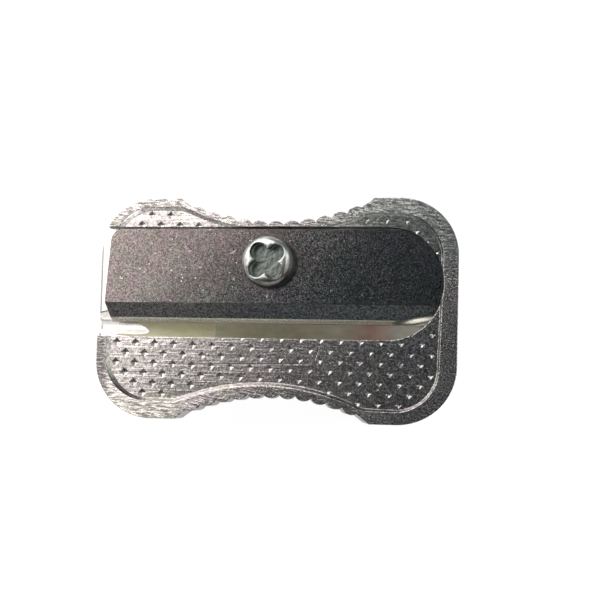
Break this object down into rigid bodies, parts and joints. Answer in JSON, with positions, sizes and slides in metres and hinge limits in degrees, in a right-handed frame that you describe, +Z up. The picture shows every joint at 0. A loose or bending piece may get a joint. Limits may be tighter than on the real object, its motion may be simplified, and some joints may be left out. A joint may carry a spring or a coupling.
{
  "type": "wedge pencil sharpener",
  "caption": "Hand-held metal wedge pencil sharpener with a waisted grip, a sloping screwed-on blade and a tapered pencil bore.",
  "frame": {"origin": "middle of the flat base, under the middle of the body", "axes": "+X along the body towards the thick end where the pencil enters, +Y across the body towards the blade's back edge, +Z up out of the base"},
  "size_m": [0.025, 0.0154, 0.011],
  "materials": {
    "body_metal": "milled and stamped magnesium alloy, satin",
    "blade_steel": "hardened carbon steel, ground bevel, satin grey",
    "screw_plating": "bright zinc-plated steel"
  },
  "bodies": {
    "root": {"sharpener_body": "body_metal", "blade": "blade_steel", "blade_screw": "screw_plating"}
  },
  "joints": []
}
